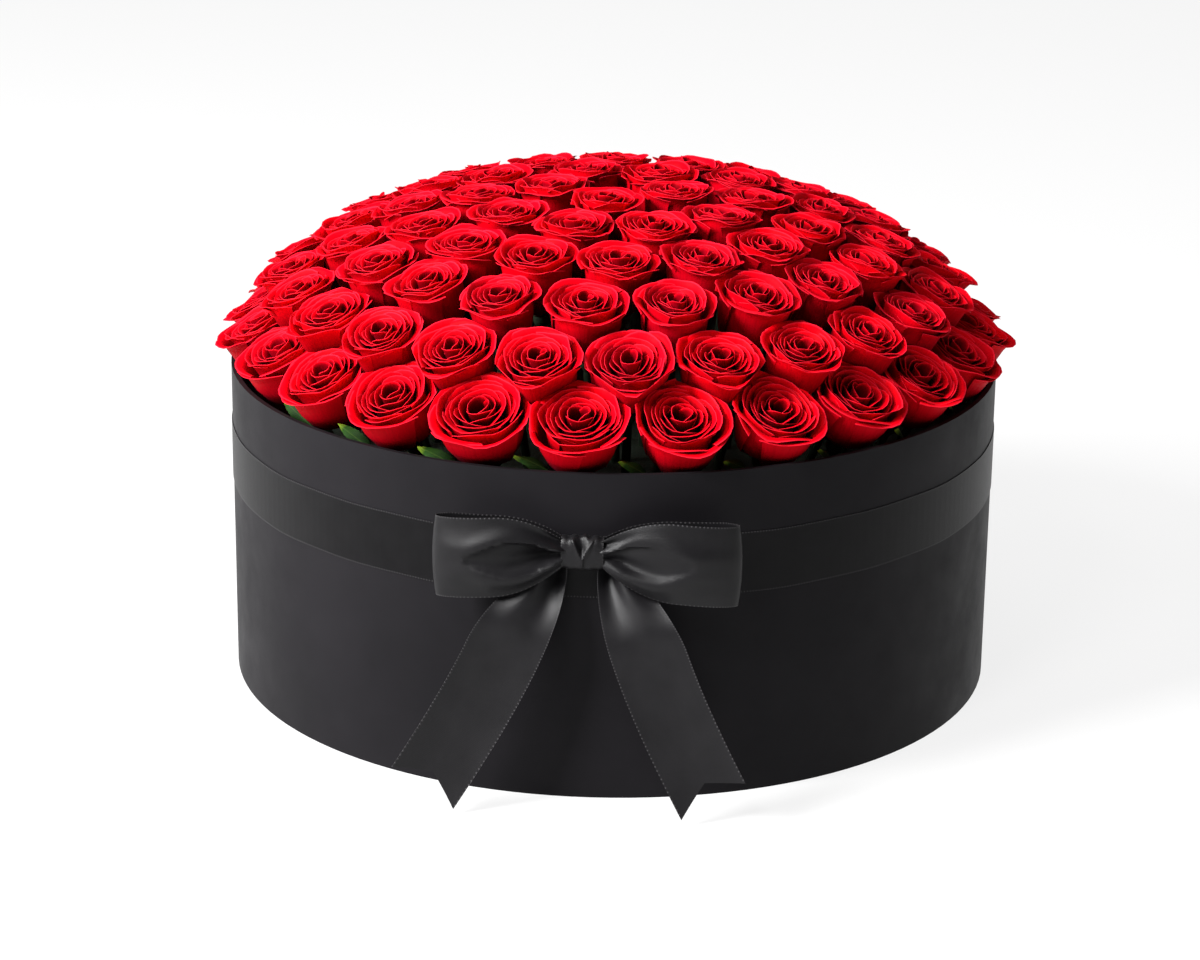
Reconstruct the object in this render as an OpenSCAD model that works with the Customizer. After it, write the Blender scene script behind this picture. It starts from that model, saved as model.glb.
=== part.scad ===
// Round flower box: a paper-covered board box with a ribbon band and a bow,
// and a lift-out insert of foam bricks that holds a dome of a hundred roses.
// Millimetres, +Z up. The origin is the centre of the underside, and the bow faces -Y.

/* [Box] */
// Outside diameter of the box
box_d = 500; // [380:1:620]
// Height of the box, from the surface that it stands on to its rim
box_h = 207; // [165:1:260]
// Thickness of the wall board
wall_t = 2.5; // [1.5:0.1:4]
// Thickness of the base board
base_t = 3; // [2:0.1:5]
// Thickness of the covering and lining papers
paper_t = 0.3; // [0.2:0.05:0.5]
// How far the covering paper is turned in at the rim and under the base
turn_in = 15; // [8:1:25]
// Gap between glued sheets that meet edge to edge
edge_gap = 0.2; // [0.1:0.05:0.5]

/* [Band] */
// Width of the band ribbon
band_w = 38; // [25:1:50]
// Distance from the rim down to the band's top edge
band_drop = 39; // [30:1:60]
// Thickness of the ribbon
ribbon_t = 0.5; // [0.3:0.05:0.8]
// Thickness of the tape that joins the band's ends
tape_t = 0.2; // [0.1:0.05:0.4]
// Half the angle that the band's ends overlap by
lap_angle = 4; // [3:0.5:6]

/* [Bow] */
// Width of the bow ribbon
bow_w = 50; // [38:1:60]
// Height of the bow's centre over the band's centre line
bow_rise = 12.5; // [0:0.5:15]
// Reach of the left loop from the bow's centre
loop_reach_left = 87; // [60:1:110]
// Reach of the right loop from the bow's centre
loop_reach_right = 92; // [60:1:110]
// How far a loop's front layer bulges forwards
loop_bulge = 10; // [6:0.5:14]
// Width of the knot, along the bow
knot_w = 25; // [20:0.5:30]
// Height of the knot
knot_h = 20; // [18:0.5:26]
// Depth of the knot, front to back
knot_d = 12; // [10:0.5:16]
// Wall of the knot's wrap, which is folded ribbon
knot_t = 1.5; // [1:0.1:2]
// Thickness of the glue between the band and the bow
glue_t = 1.3; // [0.5:0.1:3]
// Diameter of the wire that gathers the bow's waist
tie_wire_d = 0.8; // [0.5:0.1:1.2]

/* [Tails] */
// Width of a tail at its end
tail_w = 45; // [35:1:55]
// Lean of the left tail from upright
tail_lean_left = 32; // [20:1:40]
// Lean of the right tail from upright
tail_lean_right = 28.5; // [20:0.5:40]
// How far the left tail's end stands off the wall
tail_off_left = 30; // [15:1:45]
// How far the right tail's end stands off the wall
tail_off_right = 36; // [15:1:45]
// Depth of the swallow-tail notch
notch_d = 12; // [6:1:18]
// How far a tail's inner point is longer than its outer one
tip_extra = 4.5; // [0:0.5:10]
// Height of a tail's lowest point over the surface
tail_clear = 2; // [1:0.5:10]

/* [Liner and foam] */
// Gap between the liner tray and the box's lining
liner_gap = 1.5; // [0.8:0.1:4]
// Wall of the liner tray
liner_t = 1.2; // [0.8:0.1:2]
// Distance from the rim down to the tray's top edge
liner_drop = 32; // [26:1:38]
// Gap under the tray
seat_gap = 0.2; // [0.1:0.05:0.5]
// Length of a foam brick
brick_l = 230; // [190:1:280]
// Width of a foam brick
brick_w = 110; // [90:1:134]
// Height of a foam brick, which the upper layer is cut down from
brick_h = 80; // [60:1:96]
// Gap between neighbouring bricks
brick_gap = 0.4; // [0.2:0.1:1]
// Distance from the rim down to the foam's top
foam_drop = 41.4; // [38:0.1:50]
// Gap between the foam and the tray
foam_gap = 0.5; // [0.3:0.1:1]

/* [Dome] */
// Roses in each ring, from the crown to the rim
ring_roses = [5, 11, 16, 20, 24, 24]; // [3:1:30]
// Place of each ring, from the dome's centre (0) to its edge (1)
ring_place = [0.179, 0.374, 0.558, 0.727, 0.885, 0.9755]; // [0.1:0.001:0.99]
// Turn of each ring, in degrees from the bow
ring_turn = [-4.3, -13, 4.7, -2, 6.4, -1.2]; // [-30:0.1:30]
// Distance from the box's outside in to the dome's edge
dome_inset = 12.7; // [8:0.1:20]
// Height of the dome's edge over the rim
dome_lift = 3; // [0:0.5:10]
// Height of the crown over the dome's edge
dome_rise = 111.5; // [70:0.5:140]
// Fullness of the dome's section, where 2 is an ellipse
dome_fullness = 2.2; // [2:0.05:2.6]
// Lean of a rose at the dome's edge
rim_lean = 29.5; // [20:0.5:35]
// How fast the lean grows from the crown outwards
lean_growth = 1.45; // [1.2:0.05:1.8]

/* [Roses] */
// Gap between neighbouring rose heads
head_gap = 1; // [0.5:0.1:3]
// Height of a rose head
head_h = 40; // [32:1:46]
// Height of a rose's heart over its outer rim
heart_h = 8; // [4:0.5:12]
// Depth of the hollow in the middle of the heart
eye_depth = 5; // [3:0.5:8]
// Radius of the seat where a head meets its hip
seat_r = 4.5; // [3.5:0.1:6]
// Height of the hip under a head
hip_h = 9; // [6:0.5:12]
// Diameter of a stem
stem_d = 5.5; // [4:0.1:7]
// How deep a stem goes into the foam
stem_depth = 55; // [30:1:70]
// Clearance around a stem or stalk in the foam
hole_gap = 0.1; // [0.05:0.01:0.3]

/* [Leaves] */
// Length of a leaf
leaf_l = 42; // [30:1:50]
// Width of a leaf
leaf_w = 15; // [10:0.5:18]
// Thickness of a leaf
leaf_t = 0.6; // [0.4:0.05:1]
// Diameter of a leaf's stalk
stalk_d = 2; // [1.5:0.1:3]
// Length of a leaf's stalk
stalk_l = 34; // [28:1:40]
// Height of a leaf's tip over the rim
leaf_tip_rise = 6; // [2:0.5:12]
// Distance from the box's outside in to a leaf's tip
leaf_tip_inset = 10; // [8:0.5:20]
// Lean of a leaf from upright
leaf_lean = 32; // [25:1:38]

/* [Hidden] */
$fn = 96;

// Box
box_r = box_d / 2;
board_out_r = box_r - paper_t;
board_in_r = board_out_r - wall_t;
inside_r = board_in_r - paper_t;
floor_z = paper_t + base_t + paper_t;

// Band and bow
band_top = box_h - band_drop;
band_mid = band_top - band_w / 2;
lap_in_r = box_r + ribbon_t + tape_t;
lap_out_r = lap_in_r + ribbon_t;
bow_z = band_mid + bow_rise;
tail_root_off = lap_out_r - box_r + glue_t + ribbon_t / 2;
knot_off = tail_root_off + ribbon_t / 2 + knot_d / 2;
waist_l = 10;
waist_h = knot_h - 2 * knot_t - 2;
waist_d = 4.4;
loop_steps = 28;
loop_rear = knot_d / 2 - 1;
tail_steps = 12;
tail_sweep = 3;

// Liner and foam
tray_r = inside_r - liner_gap;
tray_z = floor_z + seat_gap;
tray_top = box_h - liner_drop;
foam_r = tray_r - liner_t - foam_gap;
foam_z = tray_z + liner_t;
foam_mid = foam_z + brick_h;
foam_top = box_h - foam_drop;
stem_foot = foam_top - stem_depth;
hole_spare = 1;

// Dome
dome_r = box_r - dome_inset;
dome_z = box_h + dome_lift;
rings = len(ring_roses);
rim_ring = rings - 1;
hip_foot = head_h + hip_h;

// Height of a ring's rose rims, and how far its roses lean out
function ring_r(k) = ring_place[k] * dome_r;
function ring_z(k) = dome_z + dome_rise * sqrt(1 - pow(ring_place[k], dome_fullness));
function ring_lean(k) = rim_lean * pow(ring_place[k], lean_growth);
function rose_turn(k, i) = ring_turn[k] + 360 * i / ring_roses[k];
function around(r, turn, z) = [r * sin(turn), -r * cos(turn), z];
function rose_at(k, i) = around(ring_r(k), rose_turn(k, i), ring_z(k));

// Room for a ring's heads: the distance to the nearest rose in the same ring or the rings beside it
function in_ring(k) = norm(rose_at(k, 0) - rose_at(k, 1));
function to_ring(k, j) = min([
    for (a = [0 : ring_roses[k] - 1])
        for (b = [0 : ring_roses[j] - 1])
            norm(rose_at(k, a) - rose_at(j, b))
]);
function room(k) = min(
    in_ring(k),
    k > 0 ? to_ring(k, k - 1) : in_ring(k),
    k < rim_ring ? to_ring(k, k + 1) : in_ring(k)
);
function head_r(k) = (room(k) - head_gap) / 2;

// A rose's axis at a height, counted from the box's axis
function axis_r(k, z) = ring_r(k) - (ring_z(k) - z) * tan(ring_lean(k));

// Leaves stand in the gaps between the roses of the rim ring
leaf_tip_r = box_r - leaf_tip_inset;
leaf_tip_z = box_h + leaf_tip_rise;
leaf_foot = leaf_l + stalk_l;
deepest = min(stem_foot, leaf_tip_z - leaf_foot * cos(leaf_lean)) - hole_spare;
function leaf_turn(i) = rose_turn(rim_ring, i + 0.5);

// A closed strip from sections that are rings of points, each ring's two sides in opposite order
module strip(sections) {
    n = len(sections);
    m = len(sections[0]);
    last = (n - 1) * m;
    sides = [
        for (i = [0 : n - 2]) for (j = [0 : m - 1])
            let (a = i * m + j, b = i * m + (j + 1) % m)
                for (face = [[a, b, b + m], [a, b + m, a + m]]) face
    ];
    start = [
        for (j = [0 : m / 2 - 2])
            for (face = [[j, m - 1 - j, m - 2 - j], [j, m - 2 - j, j + 1]]) face
    ];
    end = [
        for (j = [0 : m / 2 - 2])
            for (face = [[last + j, last + j + 1, last + m - 2 - j],
                         [last + j, last + m - 2 - j, last + m - 1 - j]]) face
    ];
    polyhedron([for (s = sections) for (p = s) p], concat(sides, start, end));
}

// A rectangle with round corners, centred
module rounded_rect(w, h, r) {
    square([w - 2 * r, h], center = true);
    square([w, h - 2 * r], center = true);
    for (x = [-1, 1]) for (y = [-1, 1])
        translate([x * (w / 2 - r), y * (h / 2 - r)]) circle(r);
}

// A disc or a ring, standing on height z
module ring(r_out, r_in, z, h) {
    translate([0, 0, z]) rotate_extrude() translate([r_in, 0]) square([r_out - r_in, h]);
}

module base_board() {
    color("dimgray") ring(board_in_r - edge_gap, 0, paper_t, base_t);
}

module base_cover_paper() {
    color("#1c1b1d") ring(box_r - turn_in - edge_gap, 0, 0, paper_t);
}

module base_lining_paper() {
    color("#171718") ring(inside_r, 0, paper_t + base_t, paper_t);
}

module wall_board() {
    color("gray") ring(board_out_r, board_in_r, paper_t, box_h - 2 * paper_t);
}

// Covers the outside, and is turned in over the rim and under the base
module wall_cover_paper() {
    color("#2a282c") rotate_extrude() polygon([
        [box_r - turn_in, 0], [box_r, 0], [box_r, box_h], [inside_r, box_h],
        [inside_r, box_h - turn_in], [board_in_r, box_h - turn_in], [board_in_r, box_h - paper_t],
        [board_out_r, box_h - paper_t], [board_out_r, paper_t], [box_r - turn_in, paper_t]
    ]);
}

module wall_lining_paper() {
    color("#171718") ring(board_in_r, inside_r, floor_z - paper_t, box_h - turn_in - floor_z + paper_t);
}

module ribbon_band() {
    color("#1d1b1f") ring(box_r + ribbon_t, box_r, band_top - band_w, band_w);
}

// Part of a ring at the front, half an angle to each side of the bow
module front_arc(r_in, r_out, half, z, h) {
    translate([0, 0, z]) rotate([0, 0, -90 - half]) rotate_extrude(angle = 2 * half)
        translate([r_in, 0]) square([r_out - r_in, h]);
}

module ribbon_lap_end() {
    color("#1d1b1f") front_arc(lap_in_r, lap_out_r, lap_angle, band_top - band_w, band_w);
}

module band_tape() {
    tape_edge = 2;
    color("white") front_arc(box_r + ribbon_t, lap_in_r, lap_angle - 0.5,
        band_top - band_w + tape_edge, band_w - 2 * tape_edge);
}

// Moves to the bow's centre line at a distance off the wall, with Z of the child facing forwards
module bow_place(off) {
    translate([0, -box_r - off, bow_z]) rotate([90, 0, 0]) children();
}

module bow_glue() {
    glue_l = 18;
    glue_h = 11;
    corner = 5;
    color("ivory") difference() {
        bow_place(0) linear_extrude(tail_root_off - ribbon_t / 2) rounded_rect(glue_l, glue_h, corner);
        cylinder(r = lap_out_r, h = box_h, $fn = 256);
    }
}

// Draws a child outline, in depth and height, along the bow for a length l about its centre
module along_bow(l) {
    translate([-l / 2, -box_r - knot_off, bow_z]) rotate([90, 0, 90]) linear_extrude(l) children();
}

module bow_waist() {
    color("#242226") along_bow(waist_l) rounded_rect(waist_d, waist_h, waist_d * 0.45);
}

module bow_tie_wire() {
    color("darkgreen") along_bow(tie_wire_d) difference() {
        rounded_rect(waist_d + 2 * tie_wire_d, waist_h + 2 * tie_wire_d, waist_d * 0.45 + tie_wire_d);
        rounded_rect(waist_d, waist_h, waist_d * 0.45);
    }
}

module bow_knot() {
    corner = 4;
    color("#2b292d") along_bow(knot_w) difference() {
        rounded_rect(knot_d, knot_h, corner);
        rounded_rect(knot_d - 2 * knot_t, knot_h - 2 * knot_t, corner - knot_t);
    }
}

// A loop's outline in plan: out from the waist along the front layer, round, and back along the rear one
function loop_plan(reach, a) =
    let (out = (1 - cos(a)) / 2)
        [waist_l / 2 + (reach - waist_l / 2) * out,
         (a < 180 ? 1 : -1) * waist_d / 4 * (1 - out)
             + (a < 180 ? loop_bulge : loop_rear) * sin(a) * sqrt(out)];
function loop_half(reach, u) =
    let (t = min(1, max(0, (u - knot_w / 2) / (reach * 0.53))))
        waist_h / 2 + (bow_w / 2 - waist_h / 2) * t * (2 - t);

// A loop of ribbon to one side, -1 or 1, as a closed strip with a height that opens out from the knot
module bow_loop(side, reach) {
    first = 6;
    angles = [for (i = [0 : loop_steps]) first + (360 - 2 * first) * i / loop_steps];
    strip([
        for (a = angles)
            let (p = loop_plan(reach, a),
                 q = loop_plan(reach, a + 0.5) - loop_plan(reach, a - 0.5),
                 n = [-q[1], q[0]] / norm(q) * ribbon_t / 2,
                 half = loop_half(reach, p[0]))
                [for (c = [[1, 1], [-1, 1], [-1, -1], [1, -1]])
                    [side * (p[0] + c[0] * n[0]), -box_r - knot_off - p[1] - c[0] * n[1],
                     bow_z + side * c[1] * half]]
    ]);
}

module bow_loop_left() {
    color("#2b292d") bow_loop(-1, loop_reach_left);
}

module bow_loop_right() {
    color("#2b292d") bow_loop(1, loop_reach_right);
}

// A tail to one side, -1 or 1: its inner edge hangs straight from behind the knot and then leans out,
// and from that edge it opens to its full width and its notched end
module bow_tail(side, lean, off) {
    root_half = 2.6;
    root_u = knot_w / 2 - 2 * root_half - 0.2;
    knot_foot = bow_z - knot_h / 2;
    hang = 28;
    opened = 0.6;
    end_z = tail_clear + tail_w / 2 * sin(lean) + tip_extra * cos(lean);
    drop = knot_foot - end_z;
    root = [root_u, tail_root_off, bow_z + knot_h / 4];
    leave = [root_u, tail_root_off, knot_foot - 1];
    tip = [knot_w / 3 + drop * tan(lean), tail_root_off, end_z] - tail_w / 2 * [cos(lean), 0, sin(lean)];
    bend = tip + (knot_foot - hang - tip[2]) / cos(lean) * [-sin(lean), 0, cos(lean)];
    path = concat([root], [
        for (i = [0 : tail_steps])
            let (t = i / tail_steps)
                (1 - t) * (1 - t) * leave + 2 * t * (1 - t) * bend + t * t * tip
                    + [0, (off - tail_root_off) * pow(t, tail_sweep), 0]
    ]);
    n = len(path);
    strip([
        for (i = [0 : n - 1])
            let (t = max(0, i - 1) / tail_steps,
                 run = i < 2 ? [0, 0, -1] : path[min(i + 1, n - 1)] - path[i - 1],
                 along = run / norm(run),
                 flat = cross(along, [0, 1, 0]),
                 across = flat / norm(flat),
                 thick = cross(across, along) * ribbon_t / 2,
                 open = min(1, t / opened),
                 half = root_half + (tail_w / 2 - root_half) * open * open * (3 - 2 * open),
                 end = i == n - 1 ? 1 : 0,
                 edges = [end * tip_extra * along, half * across - end * notch_d * along, 2 * half * across])
                [for (c = [[0, 1], [1, 1], [2, 1], [2, -1], [1, -1], [0, -1]])
                    let (p = path[i] + edges[side > 0 ? c[0] : 2 - c[0]] + c[1] * thick)
                        [side * p[0], -box_r - p[1], p[2]]]
    ]);
}

module bow_tail_left() {
    color("#242226") bow_tail(-1, tail_lean_left, tail_off_left);
}

module bow_tail_right() {
    color("#242226") bow_tail(1, tail_lean_right, tail_off_right);
}

module liner_tray() {
    color("#202022") difference() {
        ring(tray_r, 0, tray_z, tray_top - tray_z);
        ring(tray_r - liner_t, 0, foam_z, tray_top - foam_z + 1);
    }
}

// Moves to a rose's place: the child's origin is the middle of its rim and its -Z runs down the stem
module on_dome(k, i) {
    translate(rose_at(k, i)) rotate([0, 0, rose_turn(k, i)]) rotate([ring_lean(k), 0, 0]) children();
}

// Moves to a leaf's place: the child's origin is the leaf's tip and its -Z runs down the stalk
module on_rim(i) {
    translate(around(leaf_tip_r, leaf_turn(i), leaf_tip_z)) rotate([0, 0, leaf_turn(i)])
        rotate([leaf_lean, 0, 0]) children();
}

function stem_run(k) = (ring_z(k) - stem_foot) / cos(ring_lean(k));
function reaches(a, b, low, high, spare) = max(a, b) > low - spare && min(a, b) < high + spare;

// Holes for the stems and stalks that pass near a box of the foam, from x0,y0 to x1,y1
// in a layer turned by lay
module stem_holes(x0, y0, x1, y1, lay) {
    near = stem_d;
    for (k = [0 : rim_ring]) for (i = [0 : ring_roses[k] - 1])
        let (turn = rose_turn(k, i) - lay,
             a = around(axis_r(k, foam_top), turn, 0),
             b = around(axis_r(k, stem_foot), turn, 0))
            if (reaches(a[0], b[0], x0, x1, near) && reaches(a[1], b[1], y0, y1, near))
                rotate([0, 0, -lay]) on_dome(k, i) translate([0, 0, -stem_run(k) - hole_spare])
                    cylinder(d = stem_d + 2 * hole_gap, h = stem_run(k) + hole_spare);
    for (i = [0 : ring_roses[rim_ring] - 1])
        let (a = around(leaf_tip_r - (leaf_tip_z - foam_top) * tan(leaf_lean), leaf_turn(i) - lay, 0),
             b = around(leaf_tip_r - leaf_foot * sin(leaf_lean), leaf_turn(i) - lay, 0))
            if (reaches(a[0], b[0], x0, x1, near) && reaches(a[1], b[1], y0, y1, near))
                rotate([0, 0, -lay]) on_rim(i) translate([0, 0, -leaf_foot - hole_spare])
                    cylinder(d = stalk_d + 2 * hole_gap, h = leaf_foot);
}

// One row of foam bricks, cut to the round of the tray, in a layer turned by lay.
// A layer that the stems or stalks reach has the holes that they make.
module foam_row(row, z0, z1, lay) {
    cut = brick_gap / 2;
    rows = [-foam_r, -1.5 * brick_w, -0.5 * brick_w, 0.5 * brick_w, 1.5 * brick_w, foam_r];
    ends = [-foam_r, -0.5 * brick_l, 0.5 * brick_l, foam_r];
    y0 = rows[row - 1] + cut;
    y1 = rows[row] - cut;
    for (e = [0 : 2])
        let (x0 = ends[e] + cut, x1 = ends[e + 1] - cut)
            difference() {
                intersection() {
                    translate([x0, y0, z0]) cube([x1 - x0, y1 - y0, z1 - z0]);
                    translate([0, 0, z0]) cylinder(r = foam_r, h = z1 - z0, $fn = 192);
                }
                if (z1 > deepest) stem_holes(x0, y0, x1, y1, lay);
            }
}

// The lower layer's rows run across those of the upper one
module foam_lower(row) {
    color("darkolivegreen") rotate([0, 0, 90]) foam_row(row, foam_z, foam_mid, 90);
}

module foam_upper(row) {
    color("olivedrab") foam_row(row, foam_mid, foam_top, 0);
}

module stems(k) {
    color("forestgreen") for (i = [0 : ring_roses[k] - 1])
        on_dome(k, i) translate([0, 0, -stem_run(k)]) cylinder(d = stem_d, h = stem_run(k) - hip_foot);
}

module hips(k) {
    steps = 6;
    color("green") for (i = [0 : ring_roses[k] - 1])
        on_dome(k, i) rotate_extrude() polygon(concat(
            [[0, -hip_foot], [stem_d / 2, -hip_foot]],
            [for (s = [1 : steps])
                let (t = s / steps)
                    [stem_d / 2 + (seat_r - stem_d / 2) * t + 1.5 * sin(180 * t), -hip_foot + hip_h * t]],
            [[0, -head_h]]
        ));
}

// A head is a cup that is widest near its rim and drawn in to its seat,
// with a raised heart that has a hollow eye
module heads(k) {
    steps = 7;
    lip = 3;
    r = head_r(k);
    rim = [[r * 0.93, 0], [r * 0.6, heart_h * 0.8], [r * 0.36, heart_h]];
    color("crimson") for (i = [0 : ring_roses[k] - 1])
        on_dome(k, i) rotate_extrude() polygon(concat(
            [for (s = [0 : steps])
                let (t = s / steps)
                    [seat_r + (r - seat_r) * pow(sin(90 * t), 0.85), -head_h + (head_h - lip) * t]],
            rim, [[0, heart_h - eye_depth], [0, -head_h]]
        ));
}

module rim_leaves() {
    side_r = (leaf_l * leaf_l / 4 + leaf_w * leaf_w / 4) / leaf_w;
    color("green") for (i = [0 : ring_roses[rim_ring] - 1])
        on_rim(i) {
            translate([0, 0, -leaf_l / 2]) rotate([90, 0, 0]) translate([0, 0, -leaf_t / 2])
                linear_extrude(leaf_t) intersection_for(s = [-1, 1])
                    translate([s * (side_r - leaf_w / 2), 0]) circle(side_r);
            translate([0, 0, -leaf_foot]) cylinder(d = stalk_d, h = stalk_l + leaf_l / 3);
        }
}

base_board();
base_cover_paper();
base_lining_paper();
wall_board();
wall_cover_paper();
wall_lining_paper();
ribbon_band();
ribbon_lap_end();
band_tape();
bow_glue();
bow_waist();
bow_tie_wire();
bow_knot();
bow_loop_left();
bow_loop_right();
bow_tail_left();
bow_tail_right();
liner_tray();
for (row = [1 : 5]) {
    foam_lower(row);
    foam_upper(row);
}
for (k = [0 : rim_ring]) {
    stems(k);
    hips(k);
    heads(k);
}
rim_leaves();
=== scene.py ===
"""A round flower box: black paper-covered box, satin band and bow, and a dome of a hundred red roses."""

import math

import bpy
import numpy as np
from mathutils import Matrix, Vector


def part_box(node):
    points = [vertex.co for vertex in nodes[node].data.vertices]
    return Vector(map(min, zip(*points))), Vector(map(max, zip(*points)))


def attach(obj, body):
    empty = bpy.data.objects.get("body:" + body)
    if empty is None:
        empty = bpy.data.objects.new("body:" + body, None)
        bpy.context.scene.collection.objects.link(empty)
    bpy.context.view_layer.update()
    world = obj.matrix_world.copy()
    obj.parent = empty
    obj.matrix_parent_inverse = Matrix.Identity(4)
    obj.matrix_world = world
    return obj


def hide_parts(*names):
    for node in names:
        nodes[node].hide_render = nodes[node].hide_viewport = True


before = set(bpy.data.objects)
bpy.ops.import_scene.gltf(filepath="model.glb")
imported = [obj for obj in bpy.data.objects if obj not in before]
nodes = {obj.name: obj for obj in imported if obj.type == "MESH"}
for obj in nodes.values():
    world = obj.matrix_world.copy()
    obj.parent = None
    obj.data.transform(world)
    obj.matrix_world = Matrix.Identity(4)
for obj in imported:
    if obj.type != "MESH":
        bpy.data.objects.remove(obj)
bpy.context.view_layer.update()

MM = 0.001
GOLDEN_TURN = math.radians(137.5)

# The box, from the frame
WALL_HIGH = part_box("wall_cover_paper")[1]
BOX_R = WALL_HIGH.x
BOX_H = WALL_HIGH.z
BAND_LOW, BAND_HIGH = (corner.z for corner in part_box("ribbon_band"))
KNOT_LOW, KNOT_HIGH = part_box("bow_knot")
BOW_Z = (KNOT_LOW.z + KNOT_HIGH.z) / 2
KNOT_Y = (KNOT_LOW.y + KNOT_HIGH.y) / 2
KNOT_HALF = (KNOT_HIGH.x - KNOT_LOW.x) / 2

# The rings of the dome, from its crown: how many roses, how far out from the centre (0) to the edge (1),
# turn of the ring in degrees, width of a rose
RINGS = (
    (5, 0.179, -4.3, 52 * MM),
    (11, 0.374, -13.0, 52 * MM),
    (16, 0.558, 4.7, 53 * MM),
    (20, 0.727, -2.0, 54 * MM),
    (24, 0.885, 6.4, 56 * MM),
    (24, 0.9755, -1.2, 63 * MM),
)
DOME_R = BOX_R - 12.7 * MM
DOME_Z = BOX_H + 3 * MM
DOME_RISE = 111.5 * MM
DOME_FULLNESS = 2.2
RIM_LEAN = math.radians(29.5)
LEAN_GROWTH = 1.45


# ---------------------------------------------------------------- bench tools

def deselect():
    if bpy.context.object and bpy.context.object.mode != "OBJECT":
        bpy.ops.object.mode_set(mode="OBJECT")
    bpy.ops.object.select_all(action="DESELECT")


def pick(thing):
    deselect()
    thing.select_set(True)
    bpy.context.view_layer.objects.active = thing


def apply_modifier(thing, kind, **settings):
    pick(thing)
    modifier = thing.modifiers.new(kind.lower(), kind)
    for name, value in settings.items():
        setattr(modifier, name, value)
    bpy.ops.object.modifier_apply(modifier=modifier.name)


def grid(name, columns, rows):
    """A flat grid one unit wide and one high, from -0.5 to 0.5, with its UV map."""
    deselect()
    bpy.ops.mesh.primitive_grid_add(x_subdivisions=columns, y_subdivisions=rows, size=1)
    made = bpy.context.object
    made.name = name
    return made


def points_of(thing):
    flat = np.zeros(len(thing.data.vertices) * 3, np.float32)
    thing.data.vertices.foreach_get("co", flat)
    return flat.reshape(-1, 3).astype(float)


def place_points(thing, points):
    thing.data.vertices.foreach_set("co", np.asarray(points, np.float32).ravel())
    thing.data.update()


def set_uv(thing, u, v):
    """Gives each corner the u and v of its vertex."""
    loops = np.zeros(len(thing.data.loops), np.int32)
    thing.data.loops.foreach_get("vertex_index", loops)
    pairs = np.stack([np.asarray(u)[loops], np.asarray(v)[loops]], 1)
    thing.data.uv_layers[0].data.foreach_set("uv", pairs.astype(np.float32).ravel())


def edit_all(thing, step, **settings):
    """One edit-mode operator on the whole piece."""
    pick(thing)
    bpy.ops.object.mode_set(mode="EDIT")
    bpy.ops.mesh.select_all(action="SELECT")
    step(**settings)
    bpy.ops.object.mode_set(mode="OBJECT")


def smooth(thing, angle=50):
    pick(thing)
    bpy.ops.object.shade_smooth_by_angle(angle=math.radians(angle))


def ease(x, low, high):
    t = np.clip((x - low) / (high - low), 0, 1)
    return t * t * (3 - 2 * t)


# ---------------------------------------------------------------- finishes

def finish_of(name):
    material = bpy.data.materials.new(name)
    material.use_nodes = True
    return material, material.node_tree, material.node_tree.nodes["Principled BSDF"]


def add_node(tree, kind, **settings):
    made = tree.nodes.new(kind)
    for name, value in settings.items():
        setattr(made, name, value)
    return made


def coordinates(tree, kind, stretch=(1, 1, 1)):
    source = add_node(tree, "ShaderNodeTexCoord")
    mapping = add_node(tree, "ShaderNodeMapping")
    mapping.inputs["Scale"].default_value = stretch
    tree.links.new(source.outputs[kind], mapping.inputs["Vector"])
    return mapping.outputs["Vector"]


def noise(tree, vector, scale, detail=3.0, rough=0.5):
    made = add_node(tree, "ShaderNodeTexNoise")
    made.inputs["Scale"].default_value = scale
    made.inputs["Detail"].default_value = detail
    made.inputs["Roughness"].default_value = rough
    tree.links.new(vector, made.inputs["Vector"])
    return made.outputs["Fac"]


def ramp(tree, factor, *stops):
    """stops are (place, grey or colour)."""
    made = add_node(tree, "ShaderNodeValToRGB")
    band = made.color_ramp
    while len(band.elements) < len(stops):
        band.elements.new(0.5)
    for element, (place, colour) in zip(band.elements, stops):
        element.position = place
        shade = (colour,) * 3 if isinstance(colour, (int, float)) else colour
        element.color = (*shade, 1)
    tree.links.new(factor, made.inputs["Fac"])
    return made.outputs["Color"]


def mixed(tree, factor, first, second, blend="MIX"):
    made = add_node(tree, "ShaderNodeMix", data_type="RGBA", blend_type=blend)
    for socket, value in ((made.inputs[0], factor), (made.inputs[6], first), (made.inputs[7], second)):
        if isinstance(value, bpy.types.NodeSocket):
            tree.links.new(value, socket)
        elif isinstance(value, tuple):
            socket.default_value = (*value, 1)
        else:
            socket.default_value = value
    return made.outputs[2]


def maths(tree, operation, first, second=0.0):
    made = add_node(tree, "ShaderNodeMath", operation=operation)
    for socket, value in ((made.inputs[0], first), (made.inputs[1], second)):
        if isinstance(value, bpy.types.NodeSocket):
            tree.links.new(value, socket)
        else:
            socket.default_value = value
    return made.outputs[0]


def relief(tree, shader, height, strength, depth):
    made = add_node(tree, "ShaderNodeBump")
    made.inputs["Strength"].default_value = strength
    made.inputs["Distance"].default_value = depth
    tree.links.new(height, made.inputs["Height"])
    tree.links.new(made.outputs["Normal"], shader.inputs["Normal"])


# the petal's red from foot to top: painted shade darkens it towards the foot, deep in the rose
PETAL_FOOT_SHADE = (0.02, 0.0, 0.0)
PETAL_LOWER_SHADE = (0.07, 0.0, 0.001)
PETAL_UPPER_SHADE = (0.32, 0.0, 0.003)
PETAL_TOP = (0.80, 0.0, 0.005)
PETAL_DEEP = (0.40, 0.001, 0.012)
# painted highlight: the pale pink of a lit petal rim
PETAL_RIM_HIGHLIGHT = (1.0, 0.03, 0.07)
PETAL_SHEEN = (1.0, 0.15, 0.35, 1)
PETAL_GRAIN = 900
PETAL_VEINS = (46, 2.2, 1)


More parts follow.
